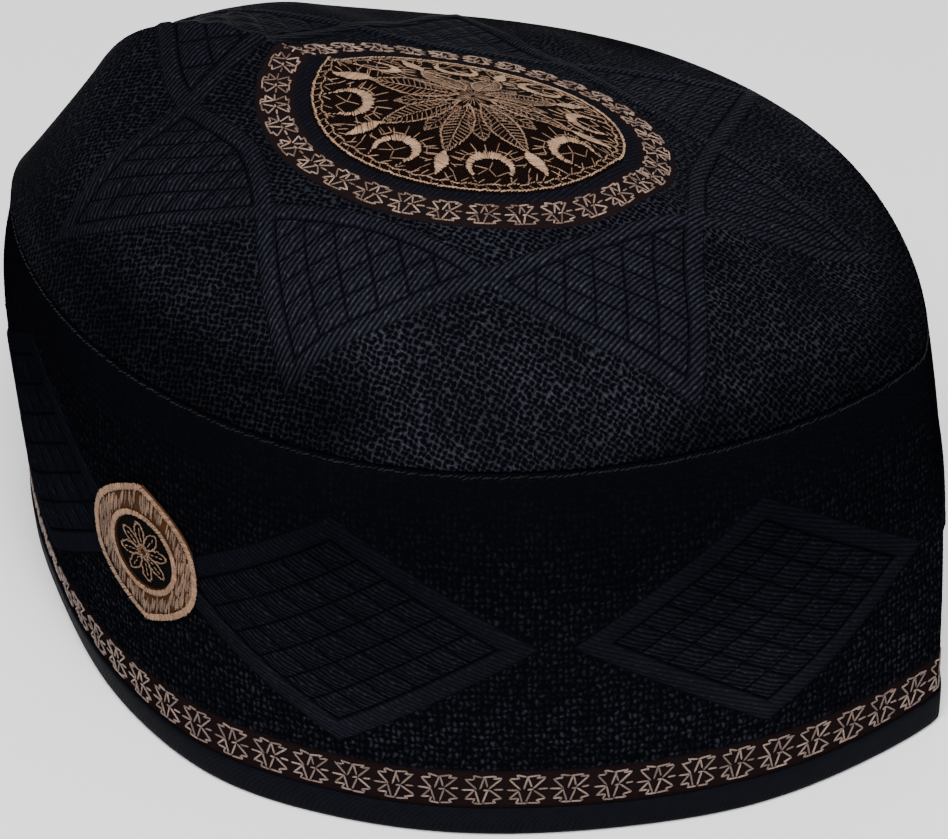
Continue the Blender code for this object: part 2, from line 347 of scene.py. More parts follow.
class Finish:
    """A material being built: one shader, and the nodes that feed it."""

    def __init__(self, name, **constants):
        self.material = bpy.data.materials.new(name)
        self.material.use_nodes = True
        self.tree = self.material.node_tree
        self.shader = self.tree.nodes["Principled BSDF"]
        for socket, value in constants.items():
            self.shader.inputs[socket.replace("_", " ")].default_value = value

    def node(self, kind, settings=None, sockets=None, output=0):
        """Adds a node, sets its settings and then its sockets, and returns one output as a value."""
        added = self.tree.nodes.new(kind)
        for setting, value in (settings or {}).items():
            setattr(added, setting, value)
        for socket, value in (sockets or {}).items():
            self.fill(added.inputs[socket], value)
        return Value(self, added.outputs[output])

    def fill(self, socket, value):
        """Links a value into a socket, or sets the socket's own number."""
        if isinstance(value, Value):
            self.tree.links.new(value.socket, socket)
        else:
            socket.default_value = value

    def feed(self, **sockets):
        """Links values into the shader."""
        for socket, value in sockets.items():
            self.fill(self.shader.inputs[socket.replace("_", " ")], value)

    def chart(self, name):
        """The vector of a UV map and its two lengths in millimetres."""
        place = self.node("ShaderNodeUVMap", {"uv_map": name})
        first = self.node("ShaderNodeSeparateXYZ", sockets={0: place})
        second = Value(self, first.socket.node.outputs[1])
        return place, first, second

    def noise(self, place, scale, detail=2.0):
        """Smooth noise from 0 to 1 at a number of lumps per unit."""
        return self.node("ShaderNodeTexNoise", sockets={"Vector": place, "Scale": scale, "Detail": detail})

    def shaken(self, place, scale, amount, stretch):
        """A place, stretched, and moved by up to half an amount with noise, so that a pattern wanders."""
        size = {"Vector": place, "Scale": scale, "Detail": 1.0}
        noise = self.node("ShaderNodeTexNoise", sockets=size, output=1)
        stretched = self.node("ShaderNodeVectorMath", {"operation": "MULTIPLY"}, {0: place, 1: stretch})
        sockets = {0: noise, 1: (amount,) * 3, 2: stretched}
        return self.node("ShaderNodeVectorMath", {"operation": "MULTIPLY_ADD"}, sockets)

    def cells(self, place, scale, uneven):
        """The distance from the middle of the nearest cell, in cells, and a random number for each cell."""
        sockets = {"Vector": place, "Scale": scale, "Randomness": uneven}
        near = self.node("ShaderNodeTexVoronoi", {"voronoi_dimensions": "2D"}, sockets)
        lot = self.node("ShaderNodeSeparateXYZ", sockets={0: Value(self, near.socket.node.outputs["Color"])})
        return near, lot

    def mixed(self, low, high, share):
        """A colour between two colours."""
        sockets = {0: share, 6: low, 7: high}
        return self.node("ShaderNodeMix", {"data_type": "RGBA"}, sockets, output=2)

    def bump(self, height):
        """A normal from a height in millimetres."""
        return self.node("ShaderNodeBump", sockets={"Height": height, "Distance": MM, "Strength": 1.0})


def smooth(value, low, high):
    """0 below low, 1 above high and 3 t^2 - 2 t^3 between them."""
    share = work("MINIMUM", work("MAXIMUM", (value - low) / (high - low), 0.0), 1.0)
    return share * share * (3 - 2 * share)


print("sums ready:", smooth(np.array([0.0, 0.5, 1.0]), 0, 1))

# %% [markdown]
# ## The quilted patterns
# The band carries a row of lozenges outlined by flat satin strips that meet point to point, each filled
# with small quilted diamonds. The crown carries a seven-pointed star drawn with the same strips round the
# medallion, and its points are filled in the same way. The ground between is a mesh of tiny eyelets. Each
# line could be a curve of its own, but the distance from a straight line is one short sum, and folding the
# plane at each line of symmetry leaves one corner of the pattern to describe.

# %% The band's lozenges
LOZENGE_PITCH = 88.8
LOZENGE_START = 198.9
LOZENGE_MIDDLE = 49.7
LOZENGE_SLOPE = np.radians(34.2)
STRIP_HALF = 2.4
QUILT_PITCH = 6.15
STRIP_OUT = 3 * QUILT_PITCH + STRIP_HALF


def lozenges(along, up):
    """Distances from the strips' middle lines and from the quilting lines, both in mm.

    With the plane folded into one corner, out = across sin a + rise cos a is constant on every line
    parallel to the strip, and across sin a - rise cos a on every line parallel to the strip beside it.
    """
    across = LOZENGE_PITCH / 2 - work("PINGPONG", along - LOZENGE_START, LOZENGE_PITCH / 2)
    rise = work("ABSOLUTE", up - LOZENGE_MIDDLE)
    out = across * np.sin(LOZENGE_SLOPE) + rise * np.cos(LOZENGE_SLOPE)
    beside = across * np.sin(LOZENGE_SLOPE) - rise * np.cos(LOZENGE_SLOPE)
    first = work("PINGPONG", out, QUILT_PITCH / 2)
    second = work("PINGPONG", beside, QUILT_PITCH / 2)
    return out - STRIP_OUT, work("MINIMUM", first, second)


print("lozenge, from tip to tip in mm:", round(2 * STRIP_OUT / np.sin(LOZENGE_SLOPE), 1))

# %% The crown's star
def unit(angle):
    """Points at a distance of 1 from the middle, at these angles."""
    return np.stack([np.cos(angle), np.sin(angle)], -1)


STAR_POINTS = 7
STAR_FIRST = -np.pi / 2
STAR_TIP = 88.0
STAR_NOTCH = 56.5
STAR_FLAT = 49.0
STAR_QUILT_PITCH = 5.8
STAR_STRIP_HALF = 2.0
HALF_POINT = np.pi / STAR_POINTS
NOTCH = STAR_NOTCH * unit(HALF_POINT)
SIDE_SLOPE = np.arctan2(NOTCH[1], STAR_TIP - NOTCH[0])
BASE_SLOPE = np.arctan2(STAR_FLAT - NOTCH[0], NOTCH[1])


def star(x, y):
    """Distances from the star's strips, inside the points, and from the quilting lines, all in mm.

    The turn is folded into half a point. There the strip runs straight from the tip to the notch and on,
    as another point's side, to the middle of the flat. Each line's distance is a sum of two products.
    """
    turn = work("PINGPONG", work("ARCTAN2", y, x) - STAR_FIRST, HALF_POINT)
    radius = work("SQRT", x * x + y * y)
    far, wide = radius * work("COSINE", turn), radius * work("SINE", turn)
    side = (far - STAR_TIP) * np.sin(SIDE_SLOPE) + wide * np.cos(SIDE_SLOPE)
    mirrored = (far - STAR_TIP) * np.sin(SIDE_SLOPE) - wide * np.cos(SIDE_SLOPE)
    base = (far - STAR_FLAT) * np.cos(BASE_SLOPE) + wide * np.sin(BASE_SLOPE)
    on_side = work("MAXIMUM", work("ABSOLUTE", side), 0 - base)
    on_base = work("MAXIMUM", work("ABSOLUTE", base), side)
    inside = work("MAXIMUM", side, 0 - base)
    first = work("PINGPONG", side + STAR_STRIP_HALF, STAR_QUILT_PITCH / 2)
    second = work("PINGPONG", mirrored + STAR_STRIP_HALF, STAR_QUILT_PITCH / 2)
    return work("MINIMUM", on_side, on_base), inside, work("MINIMUM", first, second)


print("slopes of the star's sides and bases in degrees:", np.degrees([SIDE_SLOPE, BASE_SLOPE]).round(1))

# %% [markdown]
# On the real cap the star isn't drawn with a compass: its points lean and stretch with the cloth. A lattice
# could bend the finished crown, but it would bend the cap's own shape too. So ten corners of the star are
# listed, and the flat drawing alone is pulled until each falls on its own place. The pull is a sum of
# soft bumps, one round each corner, and it fades to nothing round the back.

# %% Pull the drawn star onto its corners
STAR_SEEN = np.array(
    [[-71.6, -56.6], [-4.2, -84.2], [72.5, -47.6], [-52.9, -24.6], [-22.5, -51.5],
     [25.8, -50.4], [53.8, -7.5], [0.0, -47.5], [38.0, -31.5], [-33.5, -35.5]]
)
SEEN_TURNS = np.radians([-141.43, -90, -38.57, -167.14, -115.71, -64.29, -12.86, -90, -38.57, -141.43])
SEEN_RADII = np.array([STAR_TIP] * 3 + [STAR_NOTCH] * 4 + [STAR_FLAT] * 3)
STAR_DRAWN = SEEN_RADII[:, None] * unit(SEEN_TURNS)
PULL_REACH = 28.0


def nearness(places):
    """exp(-(distance / reach)^2) from each place to each seen corner."""
    gap = np.linalg.norm(places[..., None, :] - STAR_SEEN, axis=-1)
    return np.exp(-((gap / PULL_REACH) ** 2))


PULLS = np.linalg.solve(nearness(STAR_SEEN), STAR_DRAWN - STAR_SEEN)


def star_place(places):
    """Where a flat place of the crown lies in the evenly drawn star."""
    return places + nearness(places) @ PULLS


print("largest pull in mm:", np.abs(STAR_DRAWN - STAR_SEEN).max().round(1))

# %% [markdown]
# ## Finishes
# The cloth is a black navy synthetic with a soft gloss. Satin stitch lies in fine parallel threads that all
# run one way, the eyelet ground is a mesh of small loops round dark holes, and the quilting lines are thin
# dark furrows. All are too fine for the mesh, so a bump map gives their height, and the same masks darken the
# holes, paint shade into the furrows and between the threads, paint glints on threads and loops, and make
# the satin smoother and lighter than the ground. Cells from a Voronoi node, shaken a little, stand for the
# loops: a real net is never quite even, and a plain sine grid would look printed.

# %% The black cloth
# The dark of the eyelet holes, also used as the colour of painted shade.
HOLE_AND_SHADE = (0.0004, 0.0004, 0.0007, 1.0)
BARE = (0.0080, 0.0043, 0.0041, 1.0)
EYELET_PITCH = 1.25
HATCH_PITCH = 1.0
ROUGHNESS, SATIN_POLISH = 0.68, 0.16


def dotted(finish, place):
    """The band's ground: upright little loops, bright on a dark ground, with uneven painted glints."""
    eyelet, lot = finish.cells(finish.shaken(place, 0.5, 1.6, (1.0, 0.72, 1.0)), 1 / EYELET_PITCH, 0.40)
    loop = 1 - smooth(eyelet, 0.05, 0.50)
    return loop * 0.68 + 0.32, loop * (smooth(lot, 0.1, 1.2) * 0.7 + 0.1)


def netted(finish, place):
    """The crown's ground: a net of bent threads round dark holes, in rows that waver, with painted sparkle.
    """
    eyelet, lot = finish.cells(finish.shaken(place, 0.4, 2.0, (1.0, 1.08, 1.0)), 1 / EYELET_PITCH, 0.30)
    net = smooth(eyelet, 0.24, 0.58)
    sparkle = smooth(finish.noise(place, 1.7, 2.0), 0.36, 0.68)
    return net, net * (0.30 + 0.70 * sparkle) * (0.6 + lot * 0.4)


def cloth(finish, place, hatch, ground_of, masks, plain, brown, tones, strip_hatch, depth, wear_and_painted_light, shaded):
    """Wires the cloth from its masks: satin on strips and quilting, loops elsewhere, neither where plain.

    The colour goes from ink to satin with the tone of the threads, painted lighter on their crests, on to
    shine with painted glints on threads and loops, and back to the dark of the holes and to painted shade in
    the furrows, between the threads and wherever the last argument lays it. hatch is the length across the
    satin's threads, strip_hatch and depth say how clearly they show, and the argument before the last is a
    factor of painted light that scales tone and glints.
    """
    on_strip, on_quilt, furrow = masks
    ink, satin_tone, shine = tones
    satin = work("MAXIMUM", on_strip, on_quilt)
    ground = (1 - satin) * (1 - plain)
    loop, spark = ground_of(finish, place)
    fine = finish.noise(place, 0.9)
    broad = smooth(finish.noise(place, 0.06, 1.0), 0.35, 0.70)

    ribs = work("SINE", (hatch + fine * 0.55) * (2 * np.pi / HATCH_PITCH)) * (0.5 * depth) + 0.5
    hatched = on_quilt + on_strip * strip_hatch
    threads = ribs * (hatched + plain * 0.25 * (1 - satin))
    line = furrow * satin

    tone = threads * (0.35 + fine * 0.5) + on_strip * (1 - strip_hatch) * 0.32 + spark * ground * 0.68
    colour = finish.mixed(ink, satin_tone, tone * (0.78 + broad * 0.3) * wear_and_painted_light)
    # Painted highlights: glints on the satin's threads and sparks on the ground's loops.
    glint = threads * smooth(fine, 0.50, 0.80) * (0.45 * depth)
    flash = work("MAXIMUM", spark * ground * (0.14 + broad * 0.16), glint)
    colour = finish.mixed(colour, shine, flash * wear_and_painted_light)
    # Painted shade in the furrows and between the threads, and the dark of the eyelet holes.
    gap = work("MAXIMUM", line * 0.85, (1 - loop) * ground * 0.66)
    gap = work("MAXIMUM", (1 - ribs) * hatched * 0.55, gap)
    # The dark of the holes also serves as the colour of the painted shade.
    colour = finish.mixed(finish.mixed(colour, HOLE_AND_SHADE, gap), HOLE_AND_SHADE, shaded)
    colour = finish.mixed(colour, BARE, brown * (1 - satin) * 0.8)

    height = satin * 0.20 - line * 0.35 + threads * 0.12 + loop * ground * 0.30
    finish.feed(Base_Color=colour, Roughness=ROUGHNESS - satin * SATIN_POLISH, Normal=finish.bump(height))


def quilt_masks(strip, inside, quilting, half):
    """Shares from 0 to 1 of being on a strip, on the quilted filling and in a furrow."""
    on_strip = 1 - smooth(work("ABSOLUTE", strip), half - 0.35, half)
    on_quilt = 1 - smooth(inside, -half - 0.1, -half + 0.25)
    edge = 1 - smooth(work("ABSOLUTE", work("ABSOLUTE", strip) - half), 0.1, 0.5)
    furrow = (1 - smooth(quilting, 0.05, 0.42)) * on_quilt * 0.85
    return on_strip, on_quilt, work("MAXIMUM", edge, furrow)


# %% [markdown]
# The two cloths differ in their ground and in the light and shade painted on them. The band has painted
# shade under the seam, where the crown overhangs it, and is painted lighter towards the hem. The crown has a
# painted sheen in front, painted shade at its edge, and is painted darker towards both ends. Lamps could be
# aimed to give such tones in one view, but here they come from the flat place alone, so they are the same
# from any side.

# %% The band's cloth and the crown's
BAND_TONES = (0.0022, 0.0023, 0.0034, 1), (0.0082, 0.0086, 0.0128, 1), (0.030, 0.031, 0.042, 1)
band_cloth = Finish("band_cloth", Specular_IOR_Level=0.0)
place, along, up = band_cloth.chart("flat")
_, drawn, _ = band_cloth.chart("drawn")
strip, quilting = lozenges(drawn, up)
masks = quilt_masks(strip, strip, quilting, STRIP_HALF)
brown = 1 - smooth(up, 16.6, 18.4)
plain = work("MAXIMUM", smooth(up, 60.0, 90.0) * 0.85, brown)
# Painted light: the band's tone and glints are scaled up towards the hem.
wear_and_painted_light = 1.7 - smooth(up, 22.0, 58.0) * 0.8
# Painted shade under the seam, where the crown overhangs the band.
shaded = smooth(up, 46.0, 80.0) * 0.44
hatch = along * 0.42 + up * 0.91
cloth(band_cloth, place, hatch, dotted, masks, plain, brown, BAND_TONES, 0.55, 0.72, wear_and_painted_light, shaded)

CROWN_TONES = (0.0024, 0.0025, 0.0040, 1), (0.0165, 0.0170, 0.0255, 1), (0.046, 0.048, 0.064, 1)
CROWN_HALF_LENGTH, CROWN_HALF_WIDTH = 107.6, 93.2
GLOSS_AT = 42.0
crown_cloth = Finish("crown_cloth", Specular_IOR_Level=0.005)
place, flat_x, flat_y = crown_cloth.chart("flat")
_, star_x, star_y = crown_cloth.chart("drawn")
masks = quilt_masks(*star(star_x, star_y), STAR_STRIP_HALF)
radius = work("SQRT", flat_x * flat_x + flat_y * flat_y)
plain = 1 - smooth(radius, 43.8, 44.8)
brown = plain * smooth(radius, 35.5, 37.5)
# Painted shade along the crown's edge, weakest round the glossy front.
way_out = flat_x * flat_x * (1 / CROWN_HALF_LENGTH**2) + flat_y * flat_y * (1 / CROWN_HALF_WIDTH**2)
aside = smooth(work("ABSOLUTE", flat_x - GLOSS_AT), 14.0, 38.0)
aside = aside * (smooth(flat_x, -85.0, -45.0) * 0.6 + 0.4)
shaded = smooth(work("SQRT", way_out), 0.80, 0.94) * (aside * 0.55 + 0.08)
# Painted light: a sheen on the crown's front, and darker towards both ends.
wear_and_painted_light = smooth(flat_x, -60.0, 20.0) * 0.58 - smooth(flat_x, 45.0, 90.0) * 0.25 + 0.64
hatch = flat_x * 0.97 - flat_y * 0.22
cloth(crown_cloth, place, hatch, netted, masks, plain, brown, CROWN_TONES, 1.0, 1.0, wear_and_painted_light, shaded)
print("cloths:", band_cloth.material.name, crown_cloth.material.name)

# %% [markdown]
# The ribbon is a ribbed tape with a dull gleam, and the medallion's ground is a dark brown mesh. Embroidery
# thread is glossy and twisted. It could be made from two strands wound round each other, but at half a
# millimetre the twist is a matter of tone, so a sine wave that winds round each tube paints light and shade
# on the plies, and a number kept with every stitch gives each its own painted shine, between a lit and a
# shaded colour.

# %% The ribbon, the dark grounds and the threads
ribbon = Finish("hem_ribbon", Specular_IOR_Level=0.01)
place, along, up = ribbon.chart("flat")
RIB_PITCH = 0.9
ribs = work("SINE", (along * 0.75 + up * 0.66) * (2 * np.pi / RIB_PITCH)) * 0.5 + 0.5
# On the ribbon this is random wear alone: it varies the tone, the roughness and the relief.
wear_and_painted_light = ribbon.noise(place, 0.35, 3.0)
ribbed = ribs * 0.35 + wear_and_painted_light * 0.65
ribbon.feed(
    Base_Color=ribbon.mixed((0.0012, 0.0013, 0.0020, 1), (0.0052, 0.0054, 0.0082, 1), ribbed),
    Roughness=0.5 + wear_and_painted_light * 0.15,
    Normal=ribbon.bump(ribs * 0.06 + wear_and_painted_light * 0.1),
)

lace_ground = Finish("lace_ground", Specular_IOR_Level=0.01)
place, _, _ = lace_ground.chart("flat")
MESH_PITCH = 0.55
mesh_hole = smooth(lace_ground.cells(place, 1 / MESH_PITCH, 0.3)[0], 0.15, 0.5)
lace_ground.feed(
    Base_Color=lace_ground.mixed((0.0110, 0.0052, 0.0038, 1), (0.0016, 0.0009, 0.0008, 1), mesh_hole),
    Roughness=0.75 - mesh_hole * 0.05,
    Normal=lace_ground.bump(0.12 - mesh_hole * 0.12),
)


PLY_PITCH = 0.62


def thread_finish(name, light, shade, roughness, gloss=0.40):
    """Embroidery thread: plies wind round it, and each thread has its own painted tone between lit and
    shaded.
    """
    finish = Finish(name, Specular_IOR_Level=gloss)
    _, round_it, along_it = finish.chart("flat")
    _, lot, _ = finish.chart("lot")
    plies = work("SINE", (along_it / PLY_PITCH + round_it * 2) * (2 * np.pi)) * 0.5 + 0.5
    here = finish.node("ShaderNodeTexCoord", output=3)
    wander = smooth(finish.noise(here, 420.0, 3.0), 0.35, 0.68)
    # Painted light and shade: the tone runs from the shaded to the lit colour with noise, the plies and each
    # thread's number.
    tone = finish.mixed(shade, light, (wander * 0.30 + plies * 0.25 + 0.45) * lot)
    finish.feed(Base_Color=tone, Roughness=roughness + plies * 0.08, Normal=finish.bump(plies * 0.07))
    return finish


lace_thread = thread_finish("lace_thread", (0.430, 0.262, 0.157, 1), (0.070, 0.034, 0.019, 1), 0.42)
star_thread = thread_finish("star_thread", (0.325, 0.220, 0.165, 1), (0.062, 0.034, 0.024, 1), 0.50)
hem_thread = thread_finish("hem_thread", (0.215, 0.150, 0.124, 1), (0.048, 0.028, 0.023, 1), 0.50)
patch_thread = thread_finish("patch_thread", (0.275, 0.148, 0.080, 1), (0.044, 0.020, 0.010, 1), 0.42)
seam_thread = thread_finish("seam_thread", (0.013, 0.014, 0.018, 1), (0.003, 0.003, 0.005, 1), 0.60, 0.05)
threads = (lace_thread, star_thread, hem_thread, patch_thread, seam_thread)
print("thread finishes:", [thread.material.name for thread in threads])

# %% [markdown]
# ## The crown
# The crown is one closed shell: an outer face with the quilted relief, the edge at the seam, and a plain
# inner face one cloth below, which shows when the cap is turned over. The quilting could be left to the bump
# map, but it stands half a millimetre proud and shows where the light grazes it, so it is real geometry:
# strips stand highest with rounded shoulders, and the quilted diamonds puff up between their lines.

# %% Make the crown
CROWN_ROUND = 576
CROWN_ROWS = 138
INNER_ROWS = 22
INNER_EDGE = 0.972
STRIP_RISE = 0.55
QUILT_RISE = 0.50


def quilt_relief(strip, inside, quilting, half):
    """The height of the quilting in mm: rounded strips, and pads that rise from their furrows."""
    on_strip = 1 - smooth(np.abs(strip), half - 1.2, half + 0.3)
    on_quilt = 1 - smooth(inside, -half - 0.8, -half + 0.2)
    return np.maximum(STRIP_RISE * on_strip, QUILT_RISE * on_quilt * smooth(quilting, 0.0, 2.4))


share = np.linspace(0, 1, CROWN_ROWS + 1)[1:, None]
turn = np.linspace(-np.pi, np.pi, CROWN_ROUND + 1)[None, :]
reach = np.interp(turn, TABLE_TURNS, CROWN_EDGE)
places = (share * reach)[..., None] * unit(turn)
drawn = star_place(places)
relief = quilt_relief(*star(drawn[..., 0], drawn[..., 1]), STAR_STRIP_HALF)
relief = relief * (1 - smooth(share, 0.975, 1.0)) * smooth(np.linalg.norm(places, axis=-1), 45.0, 47.0)
outer = lifted(crown, places[..., 0], places[..., 1], relief)
outer[-1] = crown(places[-1, :, 0], places[-1, :, 1])
inner_share = np.linspace(1, 0, INNER_ROWS + 1)[:-1, None]
inner_share[0] = INNER_EDGE
inner_places = (inner_share * reach)[..., None] * unit(turn)
under = np.full(inner_places.shape[:2], -CLOTH)
inner = lifted(crown, inner_places[..., 0], inner_places[..., 1], under)
rows = np.concatenate([outer, inner])[:, :-1]
charts = {
    "flat": np.concatenate([places, inner_places]),
    "drawn": np.concatenate([drawn, star_place(inner_places)]),
}
top = np.array([0, 0, CROWN_HEIGHT])
crown_piece = add_dome("crown_cloth", rows, top, top - [0, 0, CLOTH], charts, crown_cloth.material)
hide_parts("crown")

# %% [markdown]
# ## The band
# The band is a closed loop of the same cloth. Its profile goes up the outside, over the top edge under the
# crown and down the inside. One sheet thickened with Solidify would do as well, but then the quilting would
# show inside too. Round the back the lozenges are a little narrower, so that a whole number of them goes
# round, and the drawing is squeezed there to suit.

# %% Make the band
BAND_ROUND = 700
BAND_ROWS = 108
BAND_FOOT = 1.4
BAND_TOP = WALL_HEIGHT - 0.3
BAND_INNER_ROWS = 12
BACK_LOZENGES = 4
GIRTH = 2 * FRONT_LENGTH
FRONT_FROM = LOZENGE_START - 2 * LOZENGE_PITCH
FRONT_TO = LOZENGE_START + LOZENGE_PITCH


def drawn_along(along):
    """The length along the evenly drawn lozenges: as it is in front, and stretched round the back."""
    stretch = BACK_LOZENGES * LOZENGE_PITCH / (GIRTH - FRONT_TO + FRONT_FROM)
    behind = np.where(along > FRONT_TO, along - FRONT_TO, 0) * (stretch - 1)
    before = np.where(along < FRONT_FROM, along - FRONT_FROM, 0) * (stretch - 1)
    return along + behind + before


along = np.linspace(0, GIRTH, BAND_ROUND + 1)[None, :]
up = np.linspace(BAND_FOOT, BAND_TOP, BAND_ROWS)[:, None]
strip, quilting = lozenges(drawn_along(along), up)
relief = quilt_relief(strip, strip, quilting, STRIP_HALF)
tuck = 0.6 * smooth(up, WALL_HEIGHT - 2.2, BAND_TOP) + 0 * along
outer = lifted(wall, along + 0 * up, up + 0 * along, relief - tuck)
inner_up = np.linspace(BAND_TOP, BAND_FOOT, BAND_INNER_ROWS)[:, None]
under = np.full((BAND_INNER_ROWS, BAND_ROUND + 1), -CLOTH)
inner = lifted(wall, along + 0 * inner_up, inner_up + 0 * along, under)
rows = np.concatenate([outer, inner])
all_up = np.concatenate([up, inner_up, up[:1]])
flat = np.stack(np.broadcast_arrays(along, all_up), -1)
drawn = np.stack(np.broadcast_arrays(drawn_along(along), all_up), -1)
band_piece = add_ring("band_cloth", rows[:, :-1], {"flat": flat, "drawn": drawn}, band_cloth.material)
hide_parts("band")

# %% [markdown]
# ## The ribbon round the lower edge
# A plain ribbon is folded round the lower edge of the band and the cap stands on it. A curve with a bevel
# profile could run round the hem, but its frame would twist at the tips. Here the profile, a channel with
# rounded corners and a flat foot, is a list of lifts and heights, and the wall itself carries it round.

# %% Make the ribbon
def passed_along(curve):
    """The length passed at each point of a curve, from 0 at the first."""
    return np.concatenate([[0], np.cumsum(np.linalg.norm(np.diff(curve, axis=0), axis=1))])


RIBBON_TOP = 7.5
RIBBON_OUT = 0.75
RIBBON_IN = 3.4
RIBBON_PROFILE = np.array(
    [[RIBBON_OUT - 0.15, RIBBON_TOP], [RIBBON_OUT, RIBBON_TOP - 0.3], [RIBBON_OUT, 5.5], [RIBBON_OUT, 3.5],
     [RIBBON_OUT, 1.6], [RIBBON_OUT - 0.1, 0.8], [RIBBON_OUT - 0.45, 0.2], [RIBBON_OUT - 1.0, 0.0],
     [-1.3, 0.0], [1.0 - RIBBON_IN, 0.0], [0.45 - RIBBON_IN, 0.2], [0.1 - RIBBON_IN, 0.8],
     [-RIBBON_IN, 1.6], [-RIBBON_IN, 4.0], [-RIBBON_IN, RIBBON_TOP - 0.3], [0.15 - RIBBON_IN, RIBBON_TOP],
     [-2.8, RIBBON_TOP], [-2.8, 1.0], [0.15, 1.0], [0.15, RIBBON_TOP]]
)
along = np.linspace(0, GIRTH, 561)[None, :]
lift, up = RIBBON_PROFILE[:, :1] + 0 * along, RIBBON_PROFILE[:, 1:] + 0 * along
rows = lifted(wall, along + 0 * up, up, lift)
rows[..., 2] = np.maximum(rows[..., 2], 0)
RIBBON_CLOSE = 60.0
passed = np.concatenate([passed_along(RIBBON_PROFILE), [RIBBON_CLOSE]])
flat = np.stack(np.broadcast_arrays(along, passed[:, None]), -1)
ribbon_piece = add_ring("hem_ribbon", rows[:, :-1][::-1], {"flat": flat[::-1]}, ribbon.material)
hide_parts("hem_binding")

# %% [markdown]
# ## Threads laid on the cloth
# All the embroidery is thread, so one function lays it: it takes flat curves in millimetres, lifts them onto
# the band or the crown, and puts a small closed tube along each. Bevelled curves or hair would do this too,
# but thousands of them are heavy, and here all the threads of a piece are worked out at once and make one
# mesh with five sides to a tube. A tube is flattened a little where it presses on the cloth and thins at its
# ends, where the real stitch dives in.

# %% Lay threads along flat curves
SIDES = 5
FLATTENED = 0.75
END_WIDTH = 0.45


def stitches(starts, ends):
    """Short straight stitches between two arrays of flat places, as curves of four points."""
    way = np.array([0.0, 0.18, 0.82, 1.0])[None, :, None]
    return starts[:, None] * (1 - way) + ends[:, None] * way


def even(curve, count):
    """A flat curve with its points spaced evenly along its length."""
    passed = passed_along(curve)
    at = np.linspace(0, passed[-1], count)
    return np.stack([np.interp(at, passed, curve[:, 0]), np.interp(at, passed, curve[:, 1])], -1)


def tubes(surface, curves, width, lift):
    """Points (curve, row, side) of flattened tubes: middle + w cos(a) sideways + h sin(a) outwards."""
    x, y = curves[..., 0], curves[..., 1]
    out = facing(surface, x, y)
    middle = surface(x, y) + lift * out
    run = np.gradient(middle, axis=1)
    run = run / np.maximum(np.linalg.norm(run, axis=-1, keepdims=True), 1e-9)
    sideways = np.cross(run, out)
    angle = np.arange(SIDES) * 2 * np.pi / SIDES
    thin = np.ones(curves.shape[1])
    thin[[0, -1]] = END_WIDTH
    size = (width / 2 * thin)[:, None, None]
    ring = np.cos(angle)[:, None] * sideways[..., None, :]
    ring = ring + FLATTENED * np.sin(angle)[:, None] * out[..., None, :]
    passed = np.cumsum(np.linalg.norm(np.diff(middle, axis=1, prepend=middle[:, :1]), axis=-1), 1)
    return middle[..., None, :] + size * ring, passed


def lay_threads(name, surface, groups, finish):
    """Adds one piece from groups of curves: each has its width, its lift, and its least and most painted
    shine.
    """
    points, faces, places, lots, start = [], [], [], [], 0
    tones = np.random.default_rng(11)
    for curves, width, lift, (least, most) in groups:
        ring, passed = tubes(surface, curves, width, lift)
        count, rows = curves.shape[:2]
        tube, row, side = np.meshgrid(np.arange(count), np.arange(rows - 1), np.arange(SIDES), indexing="ij")

        def corner(row_step, side_step):
            return start + (tube * rows + row + row_step) * SIDES + (side + side_step) % SIDES

        def flat_corner(row_step, side_step):
            return np.stack([(side + side_step) / SIDES, passed[tube, row + row_step]], -1)

        order = ((0, 0), (1, 0), (1, 1), (0, 1))
        faces += np.stack([corner(*step) for step in order], -1).reshape(-1, 4).tolist()
        places.append(np.stack([flat_corner(*step) for step in order], -2).reshape(-1, 2))
        lot = least + (most - least) * tones.random(count)
        lots.append(np.repeat(lot, (rows - 1) * SIDES * 4))
        lots.append(np.tile(np.repeat(lot, SIDES), 2))
        first = start + (np.arange(count) * rows * SIDES)[:, None] + np.arange(SIDES)
        faces += first.tolist() + (first + (rows - 1) * SIDES)[:, ::-1].tolist()
        places.append(np.zeros((2 * count * SIDES, 2)))
        points.append(ring.reshape(-1, 3))
        start += ring.size // 3
    lot_map = np.repeat(np.concatenate(lots)[:, None], 2, 1)
    charts = {"flat": np.concatenate(places), "lot": lot_map}
    piece = add_mesh(name, np.concatenate(points), faces, charts, finish.material)
    return piece


# %% [markdown]
# ## The small stars
# One motif is used twice: in a row above the ribbon and in a ring round the medallion. It is a frosty little
# star of straight stitches, drawn here on a square two units wide. Copies of one object could be set round
# the cap, but they would be stiff and all alike. Flat copies are bent with the cloth, and each is nudged a
# little with seeded noise, because the machine that stitched the real ones never hits the same place twice.

# %% The star motif
MOTIF = (
    ((-0.42, 0.95), (0.06, 0.82), (0.71, 0.91)),
    ((-0.42, 0.95), (-0.33, 0.70), (-0.77, 0.68), (-0.29, -0.01)),
    ((0.71, 0.91), (0.54, 0.72), (0.97, 0.77), (0.32, 0.04)),
    ((-0.98, -0.04), (-0.36, -0.04)),
    ((0.58, 0.01), (1.00, 0.04)),
    ((0.15, 0.82), (-0.12, 0.02)),
    ((0.15, 0.82), (0.27, 0.16)),
    ((0.06, -0.06), (0.34, -0.04)),
    ((0.25, -0.08), (-0.03, -0.89)),
    ((-0.36, -0.08), (-0.85, -0.65), (-0.39, -0.62), (-0.50, -0.94)),
    ((-0.36, -0.08), (-0.18, -0.92)),
    ((-0.50, -0.94), (0.02, -0.95), (0.63, -0.92)),
    ((0.34, -0.05), (0.91, -0.62), (0.48, -0.74), (0.63, -0.92)),
)
MOTIF_STARTS = np.array([start for stroke in MOTIF for start in stroke[:-1]])
MOTIF_ENDS = np.array([end for stroke in MOTIF for end in stroke[1:]])
NEEDLE_MISS = 0.022


